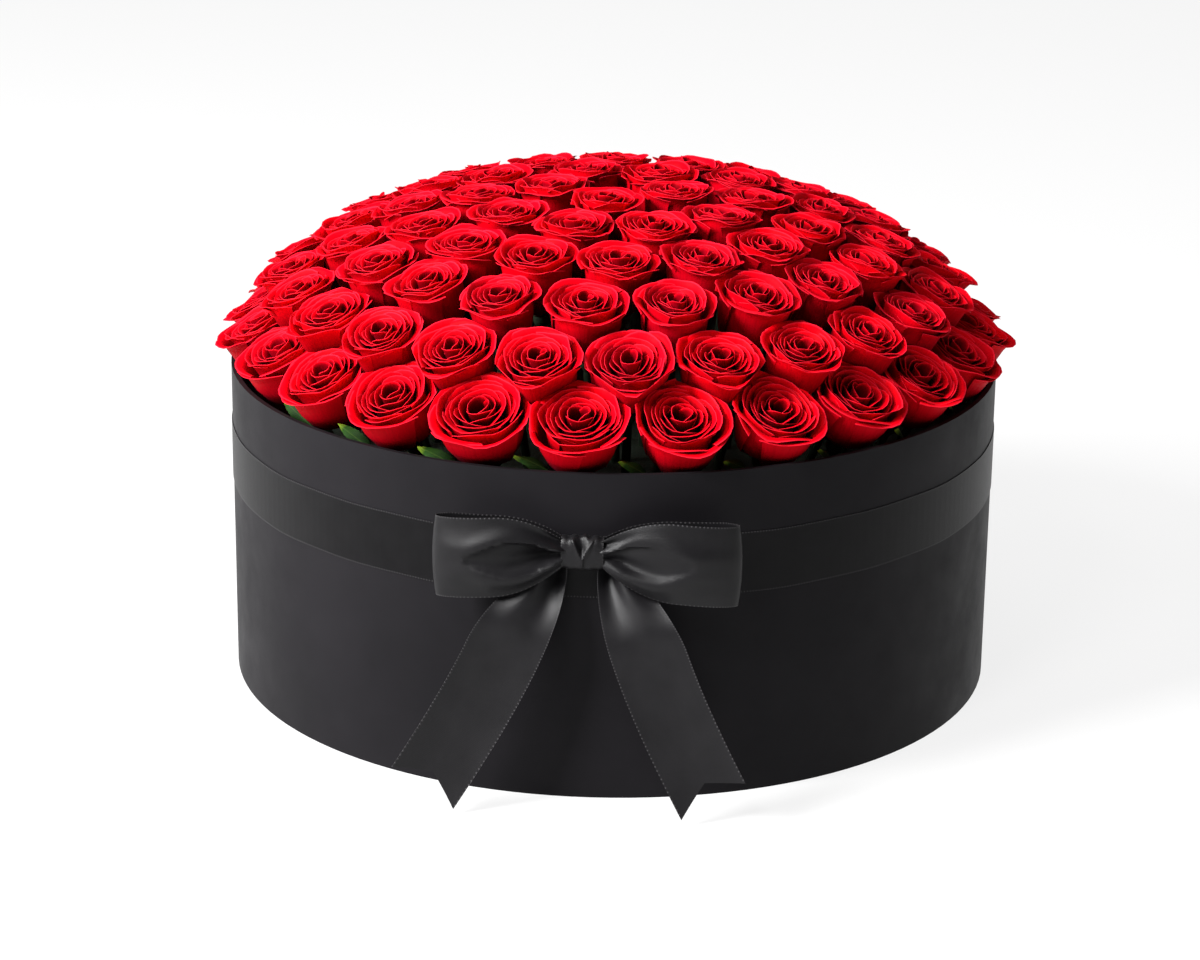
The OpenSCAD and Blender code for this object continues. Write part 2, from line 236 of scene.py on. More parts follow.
def petal_finish():
    """Crimson velvet with fine lengthwise veins: painted shade darkens each petal towards its foot, deep
    in the rose, and a painted highlight gives it a thin pale rim.

    The attribute "tone" gives each petal its own depth of red.
    """
    material, tree, shader = finish_of("rose_petal")
    uv = add_node(tree, "ShaderNodeUVMap")
    split = add_node(tree, "ShaderNodeSeparateXYZ")
    tree.links.new(uv.outputs["UV"], split.inputs[0])
    across = maths(tree, "ABSOLUTE", maths(tree, "SUBTRACT", split.outputs["X"], 0.5))
    along = split.outputs["Y"]
    # painted shade: the red darkens towards the foot of the petal, down in the rose
    body = ramp(tree, along, (0.0, PETAL_FOOT_SHADE), (0.5, PETAL_LOWER_SHADE),
                (0.74, PETAL_UPPER_SHADE), (0.9, PETAL_TOP))
    tone = add_node(tree, "ShaderNodeAttribute", attribute_name="tone")
    body = mixed(tree, tone.outputs["Fac"], body, PETAL_DEEP)
    veins = noise(tree, coordinates(tree, "UV", PETAL_VEINS), 1.0, 2.0)
    body = mixed(tree, 0.35, body, ramp(tree, veins, (0.3, 0.45), (0.7, 1.0)), "MULTIPLY")
    # painted highlight: a thin pale band along the rim at the top and the upper sides of each petal
    top = ramp(tree, along, (0.94, 0.0), (0.985, 1.0))
    side = maths(tree, "MULTIPLY", ramp(tree, across, (0.482, 0.0), (0.499, 1.0)),
                 ramp(tree, along, (0.84, 0.0), (0.95, 1.0)))
    edge = maths(tree, "MAXIMUM", top, side)
    body = mixed(tree, maths(tree, "MULTIPLY", edge, 0.35), body, PETAL_RIM_HIGHLIGHT)
    tree.links.new(body, shader.inputs["Base Color"])
    shader.inputs["Roughness"].default_value = 0.55
    shader.inputs["Specular IOR Level"].default_value = 0.02
    shader.inputs["Sheen Weight"].default_value = 0.01
    shader.inputs["Sheen Roughness"].default_value = 0.4
    shader.inputs["Sheen Tint"].default_value = PETAL_SHEEN
    grain = noise(tree, coordinates(tree, "Object"), PETAL_GRAIN, 2.0)
    height = maths(tree, "ADD", veins, maths(tree, "MULTIPLY", grain, 0.3))
    relief(tree, shader, height, 0.35, 0.4 * MM)
    return material


PAPER_GRAIN = 0.10 * MM


def paper_finish(name, dark, light, roughness):
    """Dyed paper: a faint cloudiness in its tone and a fine felt grain."""
    material, tree, shader = finish_of(name)
    place = coordinates(tree, "Object")
    clouds = noise(tree, place, 9, 4.0, 0.6)
    tree.links.new(ramp(tree, clouds, (0.3, dark), (0.7, light)), shader.inputs["Base Color"])
    wear = noise(tree, place, 26, 4.0, 0.65)
    worn = ramp(tree, wear, (0.3, roughness - 0.05), (0.7, roughness + 0.07))
    tree.links.new(worn, shader.inputs["Roughness"])
    shader.inputs["Specular IOR Level"].default_value = 0.08
    felt = noise(tree, place, 1300, 4.0, 0.6)
    relief(tree, shader, felt, 0.35, PAPER_GRAIN)
    return material


WARP_PITCH = 0.42 * MM
WEFT_PITCH = 0.7 * MM
STITCH_PITCH = 1.9 * MM
STITCH_PALE = (0.07, 0.067, 0.07)


def satin_finish(name, half_width, gloss, shade):
    """Black satin: threads along and across, and a selvedge of fine pale stitches at both edges."""
    material, tree, shader = finish_of(name)
    uv = add_node(tree, "ShaderNodeUVMap")
    split = add_node(tree, "ShaderNodeSeparateXYZ")
    tree.links.new(uv.outputs["UV"], split.inputs[0])
    run, across = split.outputs["X"], split.outputs["Y"]
    warp = maths(tree, "SINE", maths(tree, "MULTIPLY", across, 2 * math.pi / WARP_PITCH))
    weft = maths(tree, "SINE", maths(tree, "MULTIPLY", run, 2 * math.pi / WEFT_PITCH))
    threads = maths(tree, "ADD", warp, maths(tree, "MULTIPLY", weft, 0.5))
    stitch = maths(tree, "SINE", maths(tree, "MULTIPLY", run, 2 * math.pi / STITCH_PITCH))
    edge = maths(tree, "SUBTRACT", half_width, maths(tree, "ABSOLUTE", across))
    edge_mm = maths(tree, "MULTIPLY", edge, 1 / MM)
    near_edge = ramp(tree, edge_mm, (0.35, 1.0), (1.0, 0.0))
    dashes = maths(tree, "MULTIPLY", near_edge, ramp(tree, stitch, (0.35, 0.0), (0.65, 1.0)))
    cloud = noise(tree, coordinates(tree, "UV"), 60)
    body = ramp(tree, cloud, (0.3, (shade, 0.92 * shade, 1.08 * shade)),
                (0.7, (1.5 * shade, 1.4 * shade, 1.6 * shade)))
    body = mixed(tree, maths(tree, "MULTIPLY", dashes, 0.6), body, STITCH_PALE)
    tree.links.new(body, shader.inputs["Base Color"])
    shader.inputs["Roughness"].default_value = 0.40
    shader.inputs["Specular IOR Level"].default_value = gloss
    shader.inputs["Sheen Weight"].default_value = 0.01
    shader.inputs["Sheen Roughness"].default_value = 0.35
    relief(tree, shader, threads, 0.25, 0.06 * MM)
    return material


def plain_finish(name, dark, light, roughness, scale):
    """A material that varies a little in tone and has a fine relief."""
    material, tree, shader = finish_of(name)
    place = coordinates(tree, "Object")
    patches = noise(tree, place, scale, 4.0, 0.6)
    tree.links.new(ramp(tree, patches, (0.3, dark), (0.7, light)), shader.inputs["Base Color"])
    shader.inputs["Roughness"].default_value = roughness
    relief(tree, shader, noise(tree, place, scale * 12), 0.3, 0.1 * MM)
    return material


FOAM_PORES = 900
FOAM_DARK = (0.004, 0.011, 0.004)
FOAM_LIGHT = (0.007, 0.018, 0.006)


def foam_finish():
    """Dry floral foam: dark green, with open pores."""
    material, tree, shader = finish_of("floral_foam")
    place = coordinates(tree, "Object")
    pores = add_node(tree, "ShaderNodeTexVoronoi")
    pores.inputs["Scale"].default_value = FOAM_PORES
    tree.links.new(place, pores.inputs["Vector"])
    dust = noise(tree, place, 40, 4.0)
    body = ramp(tree, dust, (0.3, FOAM_DARK), (0.7, FOAM_LIGHT))
    shadow = ramp(tree, pores.outputs["Distance"], (0.0, 0.35), (0.5, 1.0))
    body = mixed(tree, 0.6, body, shadow, "MULTIPLY")
    tree.links.new(body, shader.inputs["Base Color"])
    shader.inputs["Roughness"].default_value = 0.95
    relief(tree, shader, pores.outputs["Distance"], 0.6, 0.5 * MM)
    return material


# painted shade: the leaf's foot, in under a rose, is darker
LEAF_FOOT_SHADE = (0.006, 0.022, 0.004)
MIDDLE_GREEN = (0.012, 0.045, 0.004)
TIP_GREEN = (0.20, 0.30, 0.02)
VEIN_GREEN = (0.10, 0.18, 0.03)


def leaf_finish():
    """A rose leaf: dark green, paler along the midrib, the side veins and towards the tip; painted shade
    darkens it towards its foot, which lies under a rose.
    """
    material, tree, shader = finish_of("rose_leaf")
    uv = add_node(tree, "ShaderNodeUVMap")
    split = add_node(tree, "ShaderNodeSeparateXYZ")
    tree.links.new(uv.outputs["UV"], split.inputs[0])
    across = maths(tree, "ABSOLUTE", maths(tree, "SUBTRACT", split.outputs["X"], 0.5))
    along = split.outputs["Y"]
    # painted shade darkens the leaf towards its foot, under the rose; it is paler towards the tip
    body = ramp(tree, along, (0.5, LEAF_FOOT_SHADE), (0.82, MIDDLE_GREEN), (1.0, TIP_GREEN))
    rib = ramp(tree, across, (0.01, 1.0), (0.035, 0.0))
    slant = maths(tree, "ADD", maths(tree, "MULTIPLY", along, 60), maths(tree, "MULTIPLY", across, -50))
    veins = ramp(tree, maths(tree, "SINE", slant), (0.8, 0.0), (1.0, 1.0))
    lines = maths(tree, "MAXIMUM", rib, maths(tree, "MULTIPLY", veins, 0.5))
    body = mixed(tree, maths(tree, "MULTIPLY", lines, 0.25), body, VEIN_GREEN)
    tree.links.new(body, shader.inputs["Base Color"])
    shader.inputs["Roughness"].default_value = 0.6
    shader.inputs["Specular IOR Level"].default_value = 0.12
    relief(tree, shader, maths(tree, "MULTIPLY", lines, -1.0), 0.5, 0.3 * MM)
    return material


PETAL = petal_finish()
LEAF = leaf_finish()
FOAM = foam_finish()
PAPER = paper_finish("covering_paper", (0.0055, 0.0050, 0.0060), (0.0085, 0.0077, 0.0092), 0.5)
LINING = paper_finish("lining_paper", (0.005, 0.004, 0.004), (0.008, 0.006, 0.007), 0.6)
BOARD = plain_finish("grey_board", (0.16, 0.15, 0.13), (0.24, 0.22, 0.19), 0.9, 60)
TRAY = plain_finish("tray_plastic", (0.008, 0.008, 0.009), (0.014, 0.014, 0.015), 0.35, 20)
# painted shade: the stems' green is darkened for the deep gaps between the roses where they show
SHADED_STEM = plain_finish("rose_stem", (0.003, 0.012, 0.002), (0.007, 0.022, 0.004), 0.7, 90)
HIP = plain_finish("rose_hip", (0.004, 0.016, 0.003), (0.009, 0.028, 0.006), 0.7, 160)
TAPE = plain_finish("clear_tape", (0.55, 0.54, 0.50), (0.65, 0.63, 0.58), 0.2, 60)
GLUE = plain_finish("hot_glue", (0.62, 0.56, 0.42), (0.72, 0.66, 0.52), 0.25, 120)
WIRE = plain_finish("florist_wire", (0.015, 0.07, 0.02), (0.03, 0.10, 0.03), 0.4, 400)
BAND_SATIN = satin_finish("band_satin", (BAND_HIGH - BAND_LOW) / 2, 0.10, 0.0024)
BOW_HALF_W = 25 * MM
TAIL_HALF_W = 22.5 * MM
BOW_SATIN = satin_finish("bow_satin", BOW_HALF_W, 0.21, 0.0042)
TAIL_SATIN = satin_finish("tail_satin", TAIL_HALF_W, 0.21, 0.0050)


def dress(thing, material):
    thing.data.materials.clear()
    thing.data.materials.append(material)


# ---------------------------------------------------------------- roses

BUD_PETALS = 4
INNER_PETALS = 15
CUP_PETALS = 4
OUTER_PETALS = 5
PETALS = INNER_PETALS + CUP_PETALS + OUTER_PETALS
SEAT_R = 4.5 * MM
HEART_R = 9 * MM
HEAD_H = 40 * MM
ROSE_SEED = 11
CUP_FULLNESS = 0.40
PETAL_T = 0.25 * MM
PETAL_BARE = 0.72  # the share of a petal below its rolled rim
SIDE_LAP = 0.35 * MM
FULL_TURN = 6.3  # near enough, in radians, for a random start

# One value for each layer of a rose: outermost petals, cup, bud, inner petals between bud and cup
ROLL_RADII = (4.6, 7.5, 8.0, 10.0)  # mm
CREST_SPREADS = (1.6, 1.6, 0.8, 0.8)  # mm
CORNER_FALLS = (0.05, 0.07, 0.12, 0.12)
RIM_RIPPLES = (1.0, 0.8, 0.35, 0.35)  # mm
RIM_POINTS = (0.9, 0.9, 0.2, 0.2)  # mm
HALF_ANGLES = (60, 62, 96, 68)  # degrees


def petal_layers(name, first, count, columns, rows, foot_shade_start):
    """Flat petals, one grid each, stacked with the array.

    Which petal a point belongs to, and its place on that petal, go into attributes.
    """
    made = grid(name, columns, rows)
    apply_modifier(made, "ARRAY", count=count, use_relative_offset=False,
                   use_constant_offset=True, constant_offset_displace=(0, 0, 1))
    flat = points_of(made)
    for key, values in (("across", flat[:, 0] * 2), ("along", flat[:, 1] + 0.5),
                        ("petal", np.round(flat[:, 2]) + first), ("tone", flat[:, 2] * 0)):
        layer = made.data.attributes.new(key, "FLOAT", "POINT")
        layer.data.foreach_set("value", values.astype(np.float32))
    # for the outer petals v starts partway up, so they get less of the painted shade at the foot
    set_uv(made, flat[:, 0] + 0.5, foot_shade_start + (1 - foot_shade_start) * (flat[:, 1] + 0.5))
    return made


def flat_rose():
    """All the petals of one rose, not yet shaped."""
    inner = petal_layers("inner_petals", 0, INNER_PETALS, 8, 5, 0)
    wide_petals = CUP_PETALS + OUTER_PETALS
    # the outer petals get less of the painted shade at their foot
    outer = petal_layers("outer_petals", INNER_PETALS, wide_petals, 10, 6, 0.6)
    deselect()
    outer.select_set(True)
    inner.select_set(True)
    bpy.context.view_layer.objects.active = inner
    bpy.ops.object.join()
    return inner


def attribute(thing, key):
    values = np.zeros(len(thing.data.vertices), np.float32)
    thing.data.attributes[key].data.foreach_get("value", values)
    return values.astype(float)


def shape_rose(across, along, petal, width, draw):
    """Points of a rose about the middle of its rim, +Z out of the flower."""
    rise = 1 - (1 - along) ** 1.7
    share = petal / (PETALS - 1)
    bud = petal < BUD_PETALS
    cup = petal >= INNER_PETALS
    outer = petal >= INNER_PETALS + CUP_PETALS
    radius = width / 2

    def for_each_petal(low, high):
        return draw.uniform(low, high, PETALS)[petal.astype(int)]

    def by_layer(of_outer, of_cup, of_bud, of_inner):
        return np.select([outer, cup, bud], [of_outer, of_cup, of_bud], of_inner)

    # where the rim of each petal stands, and how it rolls over: the bud stands higher than the rest
    within = np.clip((petal - BUD_PETALS) / (INNER_PETALS - BUD_PETALS - 1), 0, 1)
    outer_rim = 0.925 + 0.015 * (petal - INNER_PETALS - CUP_PETALS)
    cup_rim = 0.72 + 0.018 * (petal - INNER_PETALS)
    bud_rim = 0.19 + 0.035 * petal
    inner_rim = 0.37 + 0.31 * within
    rim_r = radius * by_layer(outer_rim, cup_rim, bud_rim, inner_rim)
    roll_r = by_layer(*ROLL_RADII) * MM
    roll = by_layer(1.6, 0.90, 0.40, 0.75 + 0.30 * within) * for_each_petal(0.85, 1.15)
    rim_r = rim_r - roll_r * (1 - np.cos(roll))
    rim_r = rim_r * np.where(cup, for_each_petal(0.955, 1.02), 1)
    crest = by_layer(1.3, 3.6, 5.6 - 0.5 * petal, 3.2 - 0.8 * within)
    crest += by_layer(*CREST_SPREADS) * for_each_petal(-1, 1)
    crest = crest * MM - roll_r * np.sin(np.minimum(roll, math.pi / 2))

    # each petal is a strip of a cup, rounded at its upper corners
    reach = 1 - by_layer(*CORNER_FALLS) * np.abs(across) ** 3.4
    up = np.minimum(rise / PETAL_BARE, 1) * reach
    edge = np.clip((rise - PETAL_BARE) / (1 - PETAL_BARE), 0, 1)
    foot_r = SEAT_R * (0.2 + 0.75 * share)
    r = foot_r + (rim_r - foot_r) * np.sin(math.pi / 2 * up) ** CUP_FULLNESS
    z = -HEAD_H + (crest + HEAD_H) * up
    r += roll_r * (1 - np.cos(roll * edge))
    z += roll_r * np.sin(roll * edge)

    # one side of a petal lies under its neighbour; the rim ripples, with a faint point in its middle
    r += SIDE_LAP * across
    ripple = by_layer(*RIM_RIPPLES) * MM
    r += ripple * edge * np.sin(across * for_each_petal(3, 6) + for_each_petal(0, FULL_TURN))
    z += ripple * edge * np.sin(across * for_each_petal(3, 6) + for_each_petal(0, FULL_TURN))
    r += by_layer(*RIM_POINTS) * MM * edge * np.exp(-((across / 0.2) ** 2))

    # a petal goes this far round the flower, and less at its foot
    half = np.radians(by_layer(*HALF_ANGLES))
    spread = 0.5 + 0.5 * np.sqrt(rise)
    turn = petal * GOLDEN_TURN + for_each_petal(-0.15, 0.15) + across * half * spread

    # no rose is quite round, and its heart is pinched one way
    oval = 0.03 * np.cos(2 * (turn - draw.uniform(0, FULL_TURN)))
    r = r * (1 + oval + 0.02 * np.cos(3 * (turn - draw.uniform(0, FULL_TURN))))
    x, y = r * np.cos(turn), r * np.sin(turn)
    way = draw.uniform(0, math.pi)
    pinch = 0.30 * np.exp(-((r / HEART_R) ** 2)) * (x * math.cos(way) + y * math.sin(way))
    return np.stack([x - pinch * math.cos(way), y - pinch * math.sin(way), z], 1)


def rose_places():
    """(ring, number in it, width, matrix) for each rose of the dome."""
    places = []
    for ring, (count, place, turn, width) in enumerate(RINGS):
        ring_r = place * DOME_R
        height = DOME_Z + DOME_RISE * math.sqrt(1 - place ** DOME_FULLNESS)
        lean = RIM_LEAN * place ** LEAN_GROWTH
        for i in range(count):
            angle = math.radians(turn) + 2 * math.pi * i / count
            at = Vector((ring_r * math.sin(angle), -ring_r * math.cos(angle), height))
            turned = Matrix.Translation(at) @ Matrix.Rotation(angle, 4, "Z")
            stand = turned @ Matrix.Rotation(lean, 4, "X")
            places.append((ring, i, width, stand))
    return places


PRESS_GAP = 0.3 * MM
PRESS_SHARE = 0.92
TILT = 0.05


def press(points, here, width, others):
    """Where two roses meet, their petals press flat against each other."""
    for other, other_width in others:
        gap = other - here
        between = gap.length * width / (width + other_width)
        away = np.array(gap.normalized())
        over = (points - np.array(here)) @ away - (between - PRESS_GAP)
        soft = np.where(over > 0, over, 0)
        points = points - np.outer(soft * PRESS_SHARE, away)
    return points


def make_roses():
    flat = flat_rose()
    across, along, petal = (attribute(flat, key) for key in ("across", "along", "petal"))
    for key in ("across", "along", "petal"):
        flat.data.attributes.remove(flat.data.attributes[key])
    dress(flat, PETAL)
    places = rose_places()
    draw = np.random.default_rng(ROSE_SEED)
    for ring, i, width, stand in places:
        here = stand.translation
        mine = width * draw.uniform(0.97, 1.03)
        local = shape_rose(across, along, petal, mine, draw)
        tilt_x = Matrix.Rotation(draw.uniform(-TILT, TILT), 4, "X")
        tilt_y = Matrix.Rotation(draw.uniform(-TILT, TILT), 4, "Y")
        matrix = np.array(stand @ (tilt_x @ tilt_y))
        world = local @ matrix[:3, :3].T + matrix[:3, 3]
        near = [(s.translation, w) for _, _, w, s in places
                if 0 < (s.translation - here).length < (w + width) / 2]
        world = press(world, here, mine, near)
        rose = bpy.data.objects.new(f"rose_{ring + 1}_{i + 1:02d}", flat.data.copy())
        bpy.context.scene.collection.objects.link(rose)
        place_points(rose, world)
        tones = np.clip(draw.uniform(0.0, 0.35) + draw.uniform(-0.12, 0.12, PETALS), 0, 1)
        of_points = tones[petal.astype(int)].astype(np.float32)
        rose.data.attributes["tone"].data.foreach_set("value", of_points)
        apply_modifier(rose, "SOLIDIFY", thickness=PETAL_T, offset=0)
        smooth(rose, 60)
        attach(rose, "insert")
        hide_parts(f"heads_ring_{ring + 1}")
    bpy.data.objects.remove(flat)


# ---------------------------------------------------------------- leaves

LEAF_L = 28 * MM
LEAF_W = 9 * MM
LEAF_TIP_R = BOX_R - 9 * MM
LEAF_TIP_Z = BOX_H + 5 * MM
LEAF_DROP = math.radians(24)
LEAF_BACK = math.radians(20)
LEAF_OFF_GAP = math.radians(1.5)
LEAF_T = 0.5 * MM
LEAF_RISE = 5 * MM
LEAF_TEETH = 9
LEAF_SEED = 5


def make_leaves():
    """One leaf lies in each gap of the outer ring.

    Its tip looks out over the rim of the box, and the rest of it goes in under a rose.
    """
    count, _, turn, _ = RINGS[-1]
    made = grid("rose_leaves", 10, 24)
    flat = points_of(made)
    across, along = flat[:, 0] * 2, flat[:, 1] + 0.5
    teeth = 1 + 0.16 * np.abs(across) ** 3 * (np.mod(along * LEAF_TEETH, 1) - 0.5)
    half = LEAF_W / 2 * np.sin(math.pi * along ** 0.9) ** 0.85 * teeth
    # folded along the midrib, a little wavy, and curved along its length
    fold = 1.8 * MM * np.abs(across) ** 1.4
    wave = 0.8 * MM * np.sin(along * 9 + across) * np.abs(across)
    lift = fold + wave + LEAF_RISE * (1 - along) ** 2
    template = np.stack([-LEAF_L * (along - 1), lift, across * half], 1)
    place_points(made, template)
    set_uv(made, flat[:, 0] + 0.5, along)
    apply_modifier(made, "SOLIDIFY", thickness=LEAF_T, offset=0)
    dress(made, LEAF)
    smooth(made)
    template = points_of(made)
    draw = np.random.default_rng(LEAF_SEED)
    leaves = []
    for i in range(count):
        angle = math.radians(turn) + 2 * math.pi * (i + 0.5) / count - LEAF_OFF_GAP
        height = LEAF_TIP_Z + draw.uniform(-2, 1) * MM
        at = Vector((LEAF_TIP_R * math.sin(angle), -LEAF_TIP_R * math.cos(angle), height))
        stand = Matrix.Translation(at) @ Matrix.Rotation(angle, 4, "Z")
        stand = stand @ Matrix.Rotation(LEAF_BACK, 4, "Z")
        stand = stand @ Matrix.Rotation(LEAF_DROP * draw.uniform(0.7, 1.3), 4, "Y")
        stand = stand @ Matrix.Rotation(-draw.uniform(0.3, 0.8), 4, "X")
        matrix = np.array(stand)
        leaf = bpy.data.objects.new(f"leaf_{i}", made.data.copy())
        bpy.context.scene.collection.objects.link(leaf)
        place_points(leaf, template * draw.uniform(0.85, 1.05) @ matrix[:3, :3].T + matrix[:3, 3])
        leaves.append(leaf)
    bpy.data.objects.remove(made)
    deselect()
    for leaf in leaves:
        leaf.select_set(True)
    bpy.context.view_layer.objects.active = leaves[0]
    bpy.ops.object.join()
    leaves[0].name = "rose_leaves"
    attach(leaves[0], "insert")
    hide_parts("rim_leaves")


# ---------------------------------------------------------------- ribbon

RIBBON_T = 0.45 * MM
BAND_STEPS = 240
BAND_MIDDLE = (BAND_HIGH + BAND_LOW) / 2


def finish_ribbon(ribbon, material, node):
    apply_modifier(ribbon, "SOLIDIFY", thickness=RIBBON_T, offset=0)
    dress(ribbon, material)
    smooth(ribbon, 40)
    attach(ribbon, "box")
    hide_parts(node)


def make_band():
    """The band lies on the wall, with its edges a little wavy."""
    deselect()
    bpy.ops.mesh.primitive_cylinder_add(
        vertices=BAND_STEPS, radius=BOX_R + 0.3 * MM, depth=BAND_HIGH - BAND_LOW,
        end_fill_type="NOTHING", location=(0, 0, BAND_MIDDLE))
    band = bpy.context.object
    band.name = "satin_band"
    bpy.ops.object.transform_apply(location=True)
    pick(band)
    bpy.ops.object.mode_set(mode="EDIT")
    bpy.ops.mesh.select_all(action="DESELECT")
    bpy.ops.object.mode_set(mode="OBJECT")
    for edge in band.data.edges:
        a, b = (band.data.vertices[v].co for v in edge.vertices)
        edge.select = abs(a.z - b.z) > 1 * MM
    bpy.ops.object.mode_set(mode="EDIT")
    bpy.ops.mesh.select_mode(type="EDGE")
    bpy.ops.mesh.subdivide(number_cuts=5)
    bpy.ops.object.mode_set(mode="OBJECT")
    points = points_of(band)
    angle = np.arctan2(points[:, 0], -points[:, 1])
    wave = 0.35 * MM * np.sin(angle * 9 + 1) + 0.2 * MM * np.sin(angle * 23)
    points[:, 2] += wave
    place_points(band, points)
    # UVs in metres, round the box and across the ribbon: the face at the seam runs on past the full turn
    loops = np.zeros(len(band.data.loops), np.int32)
    band.data.loops.foreach_get("vertex_index", loops)
    round_box = angle[loops].reshape(-1, 4)
    behind = round_box < round_box.max(1, keepdims=True) - math.pi
    round_box = np.where(behind, round_box + 2 * math.pi, round_box)
    pairs = np.stack([round_box.ravel() * BOX_R, (points[:, 2] - wave)[loops] - BAND_MIDDLE], 1)
    band.data.uv_layers[0].data.foreach_set("uv", pairs.astype(np.float32).ravel())
    finish_ribbon(band, BAND_SATIN, "ribbon_band")


def make_lap():
    """The band's end lies over its start at the front, under the bow."""
    low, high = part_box("ribbon_lap_end")
    made = grid("satin_lap", 24, 6)
    flat = points_of(made)
    x = (low.x + high.x) / 2 + flat[:, 0] * (high.x - low.x)
    z = (low.z + high.z) / 2 + flat[:, 1] * (BAND_HIGH - BAND_LOW)
    place_points(made, np.stack([x, -np.sqrt((BOX_R + 1.0 * MM) ** 2 - x * x), z], 1))
    set_uv(made, x, flat[:, 1] * (BAND_HIGH - BAND_LOW))
    finish_ribbon(made, BAND_SATIN, "ribbon_lap_end")


WAIST_HALF_L = 5 * MM
WAIST_HALF_H = 7.5 * MM
LOOP_START = 10 * MM
LOOP_OPEN = 0.56
LOOP_FRONT_BULGE = 10.5 * MM
LOOP_REAR_BULGE = 5.0 * MM
LOOP_FRONT_ROLL = 6.5 * MM
GATHER_FADE = 0.34
GATHER_FOLDS = 7.5


def make_loop(name, side, reach, sag, hollow, tip):
    """One loop: out from the waist in front, round its end and back along the rear layer."""
    made = grid(name, 120, 26)
    flat = points_of(made)
    run, w = flat[:, 0] + 0.5, flat[:, 1] * 2
    a = np.radians(6 + 348 * run)
    out = (1 - np.cos(a)) / 2
    front = a < math.pi
    x = WAIST_HALF_L + (reach - WAIST_HALF_L) * out
    bulge = np.where(front, LOOP_FRONT_BULGE, LOOP_REAR_BULGE)
    depth = np.where(front, 1, -1) * 1.1 * MM * (1 - out) + bulge * np.sin(a) * np.sqrt(out)
    # share is how far out a point lies: the loop has opened to its full width at LOOP_OPEN
    share = np.clip((x - LOOP_START) / (reach - LOOP_START), 0, 1)
    t = np.clip(share / LOOP_OPEN, 0, 1)
    half = WAIST_HALF_H + (BOW_HALF_W - WAIST_HALF_H) * t * (2 - t)
    rear_waist = 1 - 0.12 * np.sin(math.pi * np.clip(share / 0.9, 0, 1))
    half *= np.where(front, 1, rear_waist)
    # the hollow that the front layer folds into, a drop with its point outwards
    wide = 0.10 + 0.36 * np.sin(math.pi * np.clip(share / tip, 0, 1) ** 0.9)
    inside = np.clip(1 - (w / wide) ** 2, 0, 1) * (share < tip)
    fall = hollow * np.sqrt(np.clip(1 - share / tip, 0, 1)) * ease(share, -0.02, 0.2)
    shade = np.where(front, fall * inside ** 0.6, 0)
    # gathers that run out of the knot
    gathers = np.exp(-share / GATHER_FADE) * np.sin(w * GATHER_FOLDS + 0.6 * side) * 2.8 * MM
    gathers *= ease(share, -0.1, 0.12)
    # the lip round the hollow, and the roll of the whole front layer
    lip = np.exp(-(((np.abs(w) - wide - 0.16) / 0.16) ** 2))
    ridge = np.where(front, 2.6 * MM * lip * (share < 0.95) * (1 - share), 0)
    roll = np.where(front, LOOP_FRONT_ROLL * np.cos(w * math.pi / 2) * np.sin(math.pi * share), 0)
    depth = depth + roll - shade + np.where(front, 1, 0.4) * gathers + ridge
    droop = sag * share
    bow_in = 2.0 * MM * (1 - w * w) * ease(share, 0.7, 1.0)
    points = np.stack([side * (x + bow_in), KNOT_Y - depth, BOW_Z + w * half - droop], 1)
    place_points(made, points)
    length = 2 * reach
    set_uv(made, run * length, w * BOW_HALF_W)
    if side > 0:
        edit_all(made, bpy.ops.mesh.flip_normals)
    node = "bow_loop_left" if side < 0 else "bow_loop_right"
    finish_ribbon(made, BOW_SATIN, node)


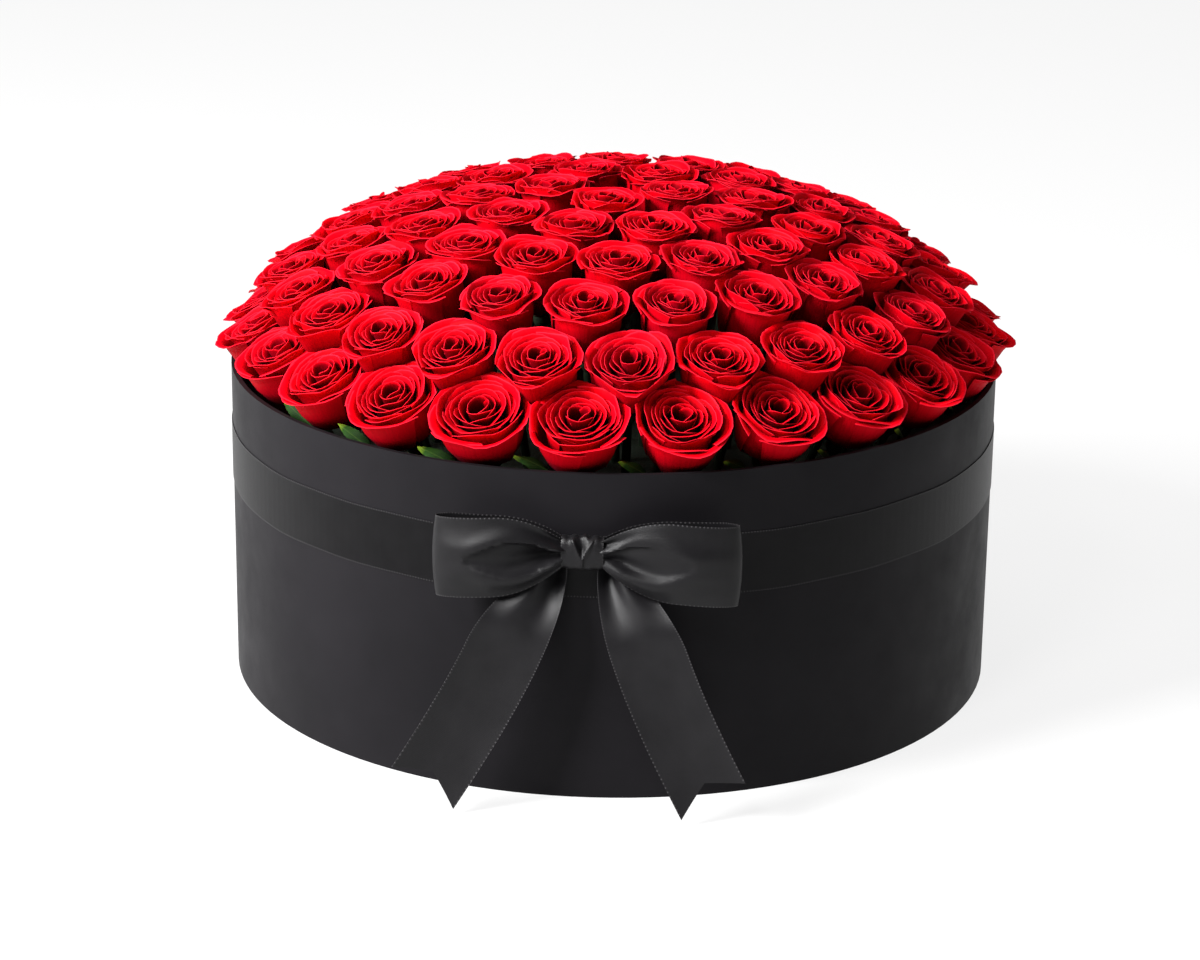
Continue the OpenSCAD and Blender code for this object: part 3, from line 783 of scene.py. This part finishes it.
def make_tail(name, side, lean, off, lift, extra, trim):
    """A tail: out from behind the knot in folds, opening to its width, down to a notched end."""
    made = grid(name, 22, 64)
    flat = points_of(made)
    s, t = flat[:, 0] * 2, 0.5 - flat[:, 1]
    knot_foot = BOW_Z - 10 * MM
    root_x = 11 * MM
    root_y = 2.75 * MM
    root_half = 4.5 * MM
    end_half = TAIL_HALF_W
    notch = 10 * MM
    hang = 28 * MM
    foot_gap = 8.5 * MM
    floor_gap = 2 * MM
    tip_depth = 4.5 * MM
    end_z = floor_gap + end_half * math.sin(lean) + tip_depth * math.cos(lean)
    drop = knot_foot - end_z
    length = drop / math.cos(lean) + notch
    # the inner edge drops straight from the knot and then leans out
    foot_x = foot_gap + drop * math.tan(lean) - end_half * math.cos(lean)
    foot = np.array([foot_x, end_z - end_half * math.sin(lean)])
    start = np.array([root_x, knot_foot + 8 * MM])
    straight = (knot_foot - hang - foot[1]) / math.cos(lean)
    bend = foot + straight * np.array([-math.sin(lean), math.cos(lean)])
    # the end is cut to a notch, its inner point the longer one
    cut = notch * (1 - np.abs(s)) - extra * np.clip(-s, 0, 1) + trim
    t = t * (1 - cut / (2 * straight))
    curve = ((1 - t) ** 2)[:, None] * start + (2 * t * (1 - t))[:, None] * bend
    curve = curve + (t * t)[:, None] * foot
    slope = (2 * (1 - t))[:, None] * (bend - start) + (2 * t)[:, None] * (foot - bend)
    slope /= np.linalg.norm(slope, axis=1)[:, None]
    across = np.stack([-slope[:, 1], slope[:, 0]], 1)
    half = root_half + (end_half - root_half) * ease(t, -0.12, 0.58)
    plan = curve + across * ((s + 1) * half)[:, None]
    # how far it stands off the wall: it swings out, with the folds of the knot dying out on the way down
    stand = root_y + (off - root_y) * (0.5 * ease(t, 0.16, 0.50) + 0.5 * t ** 2)
    folds = 5.0 * MM * (1 - ease(t, 0.05, 0.55)) * np.sin(s * 4.4 + 0.4) * ease(t, 0.0, 0.08)
    swell = 3.0 * MM * np.exp(-(((t - 0.24) / 0.12) ** 2)) * (1 - 0.5 * s * s)
    curl = lift * MM * (s * s) * ease(t, 0.25, 0.8)
    stand = stand + folds + swell + curl
    points = np.stack([side * plan[:, 0], -BOX_R - stand, plan[:, 1]], 1)
    place_points(made, points)
    set_uv(made, t * length, s * end_half)
    edit_all(made, bpy.ops.mesh.normals_make_consistent, inside=False)
    node = "bow_tail_left" if side < 0 else "bow_tail_right"
    finish_ribbon(made, TAIL_SATIN, node)


KNOT_HALF_H = 10  # mm
KNOT_HALF_D = 6.2  # mm
KNOT_SQUARENESS = 0.72


def make_knot():
    """The knot: ribbon wrapped over the waist, folded into a Y at the front. Drawn in millimetres."""
    made = grid("satin_knot", 90, 64)
    flat = points_of(made)
    u, turn = flat[:, 0] * 2, flat[:, 1] * 2 * math.pi
    depth = np.sign(np.cos(turn)) * np.abs(np.cos(turn)) ** KNOT_SQUARENESS
    height = np.sign(np.sin(turn)) * np.abs(np.sin(turn)) ** KNOT_SQUARENESS
    w = height * KNOT_HALF_H
    x = u * KNOT_HALF / MM
    front = ease(depth, 0.0, 0.9)
    # the arms of the Y part upwards: a ridge along each, and a valley between them
    arm = np.clip((w + 2.7) / 9, 0, 1.3)
    ridges = np.exp(-(((np.abs(x) - 4.6 * arm) / 1.0) ** 2)) * ease(w, -12, -4)
    valley = np.exp(-((x / (2.4 * arm + 0.3)) ** 2)) * ease(w, -1, 4)
    pleat = 1.3 * ridges - 2.2 * valley
    side_fold = 0.5 * np.exp(-(((w - 3 + 0.2 * np.abs(x)) / 0.7) ** 2)) * ease(np.abs(x), 5, 8)
    pinch = 0.9 * u ** 2
    swell = 1 - 0.07 * u * u + 0.02 * np.sin(x * 0.9)
    y = KNOT_Y / MM - depth * KNOT_HALF_D - front * (pleat + side_fold) + front * pinch
    points = np.stack([x, y, w * swell + BOW_Z / MM + 0.3 * np.sin(x)], 1) * MM
    place_points(made, points)
    set_uv(made, flat[:, 1] * 58 * MM, flat[:, 0] * 2 * BOW_HALF_W)
    edit_all(made, bpy.ops.mesh.remove_doubles, threshold=0.01 * MM)
    edit_all(made, bpy.ops.mesh.normals_make_consistent, inside=False)
    finish_ribbon(made, BOW_SATIN, "bow_knot")


# ---------------------------------------------------------------- the carried-over nodes

NODE_FINISHES = {
    "wall_cover": PAPER,
    "base_cover": PAPER,
    "wall_lining": LINING,
    "base_lining": LINING,
    "wall_board": BOARD,
    "base_board": BOARD,
    "band_tape": TAPE,
    "bow_glue": GLUE,
    "bow_waist": LINING,
    "bow_tie_wire": WIRE,
    "liner_tray": TRAY,
    "foam": FOAM,
    "stems": SHADED_STEM,
    "hips": HIP,
}


def dress_nodes():
    for name, node in nodes.items():
        for start, material in NODE_FINISHES.items():
            if name.startswith(start):
                dress(node, material)


# ---------------------------------------------------------------- camera and light

CAMERA_LENS = 101.15
CAMERA_SENSOR = 36
CAMERA_AT = (0.1372, -2.1210, 0.8402)
CAMERA_HEADING = math.radians(3.918)
CAMERA_PITCH = math.radians(18.75)
CAMERA_ROLL = 0.0123
FLOOR_GREY = (0.16, 0.16, 0.16, 1)
FLOOR_GLOW = 0.84
WHITE = (1, 1, 1, 1)
WORLD_GLOW = 0.08


def make_camera():
    data = bpy.data.cameras.new("camera")
    data.lens = CAMERA_LENS
    data.sensor_width = CAMERA_SENSOR
    camera = bpy.data.objects.new("camera", data)
    bpy.context.scene.collection.objects.link(camera)
    level_reach = math.cos(CAMERA_PITCH)
    forward = Vector((-math.sin(CAMERA_HEADING) * level_reach,
                      math.cos(CAMERA_HEADING) * level_reach,
                      -math.sin(CAMERA_PITCH)))
    level = forward.cross(Vector((0, 0, 1))).normalized()
    upright = level.cross(forward)
    right = math.cos(CAMERA_ROLL) * level + math.sin(CAMERA_ROLL) * upright
    up = -math.sin(CAMERA_ROLL) * level + math.cos(CAMERA_ROLL) * upright
    turn = Matrix((right, up, -forward)).transposed().to_4x4()
    camera.matrix_world = Matrix.Translation(CAMERA_AT) @ turn
    bpy.context.scene.camera = camera


def softbox(name, place, size, power, look_at):
    data = bpy.data.lights.new(name, "AREA")
    data.shape = "RECTANGLE"
    data.size, data.size_y = size
    data.energy = power
    lamp = bpy.data.objects.new(name, data)
    bpy.context.scene.collection.objects.link(lamp)
    lamp.location = place
    lamp.rotation_euler = (Vector(look_at) - Vector(place)).to_track_quat("-Z", "Y").to_euler()


def make_studio():
    deselect()
    bpy.ops.mesh.primitive_circle_add(vertices=96, radius=30, fill_type="NGON", location=(0, 0, 0))
    floor = bpy.context.object
    floor.name = "floor"
    material, _, shader = finish_of("studio_floor")
    shader.inputs["Base Color"].default_value = FLOOR_GREY
    shader.inputs["Roughness"].default_value = 0.9
    shader.inputs["Specular IOR Level"].default_value = 0.0
    shader.inputs["Emission Color"].default_value = WHITE
    shader.inputs["Emission Strength"].default_value = FLOOR_GLOW
    dress(floor, material)
    middle = (0, 0, 0.2)
    softbox("key", (-1.85, -1.3, 1.75), (0.8, 0.8), 175, middle)
    softbox("left_front", (-2.2, -1.6, 1.3), (0.6, 0.6), 45, middle)
    softbox("gloss", (-0.7, -1.8, 2.1), (0.6, 0.6), 22, middle)
    softbox("left_strip", (-1.9, 0.15, 0.6), (0.5, 1.4), 14, middle)
    softbox("right_strip", (1.9, 0.5, 0.6), (0.4, 1.4), 1, middle)
    softbox("top", (-0.3, 0.2, 2.4), (1.2, 1.2), 12, middle)
    world = bpy.data.worlds.new("studio")
    world.use_nodes = True
    backdrop = world.node_tree.nodes["Background"]
    backdrop.inputs["Color"].default_value = WHITE
    backdrop.inputs["Strength"].default_value = WORLD_GLOW
    bpy.context.scene.world = world
    bpy.context.scene.view_settings.view_transform = "Standard"
    bpy.context.scene.view_settings.look = "None"


make_camera()
make_studio()
dress_nodes()
make_roses()
make_leaves()
make_band()
make_lap()
make_loop("satin_loop_left", -1, 87 * MM, 4.5 * MM, 9.5 * MM, 0.77)
make_loop("satin_loop_right", 1, 92 * MM, 5 * MM, 6.5 * MM, 0.70)
make_tail("satin_tail_left", -1, math.radians(32), 30 * MM, 3.0, 2.5 * MM, 0)
make_tail("satin_tail_right", 1, math.radians(28.5), 36 * MM, 2.0, 4.5 * MM, 3 * MM)
make_knot()
